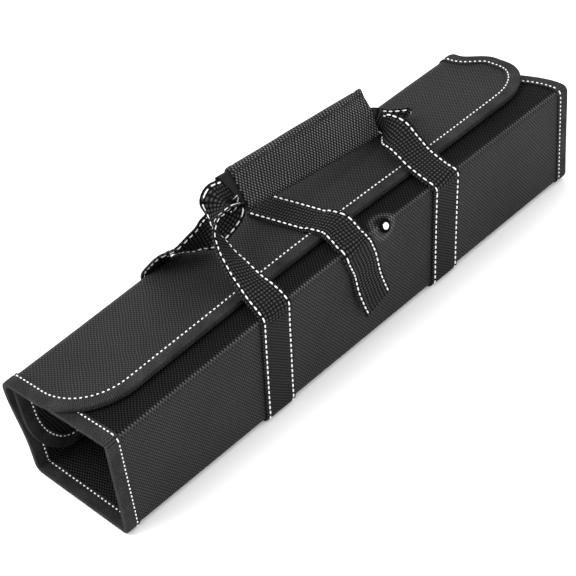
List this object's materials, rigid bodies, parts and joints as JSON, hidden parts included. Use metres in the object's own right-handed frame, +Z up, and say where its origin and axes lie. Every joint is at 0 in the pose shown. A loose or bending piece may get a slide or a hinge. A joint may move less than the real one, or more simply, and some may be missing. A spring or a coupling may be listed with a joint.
{
  "type": "knife roll",
  "caption": "Long padded nylon knife case folded into an open-ended box tube, with webbing straps meeting in one padded carry grip, a slanted closure strap and a round stud.",
  "frame": {"origin": "middle of the bounding box, on the surface that the case stands on", "axes": "+X along the case, its front with the closure strap facing -Y, +Z up"},
  "size_m": [0.504, 0.1174, 0.1552],
  "materials": {
    "nylon": "matt ribbed black nylon",
    "binding_tape": "matt black binding tape",
    "webbing": "coarse black webbing",
    "grip_mesh": "black diamond mesh, slightly glossy",
    "grip_liner": "smooth black cloth",
    "stud_washer": "black, satin",
    "stud_metal": "polished"
  },
  "bodies": {
    "root": {"case_wrap": "nylon", "edge_binding": "binding_tape", "left_strap": "webbing", "right_strap": "webbing", "closure_strap": "webbing", "grip_wrap": "grip_mesh", "grip_liner": "grip_liner", "stud_ring": "stud_washer", "stud_cap": "stud_metal"}
  },
  "joints": []
}
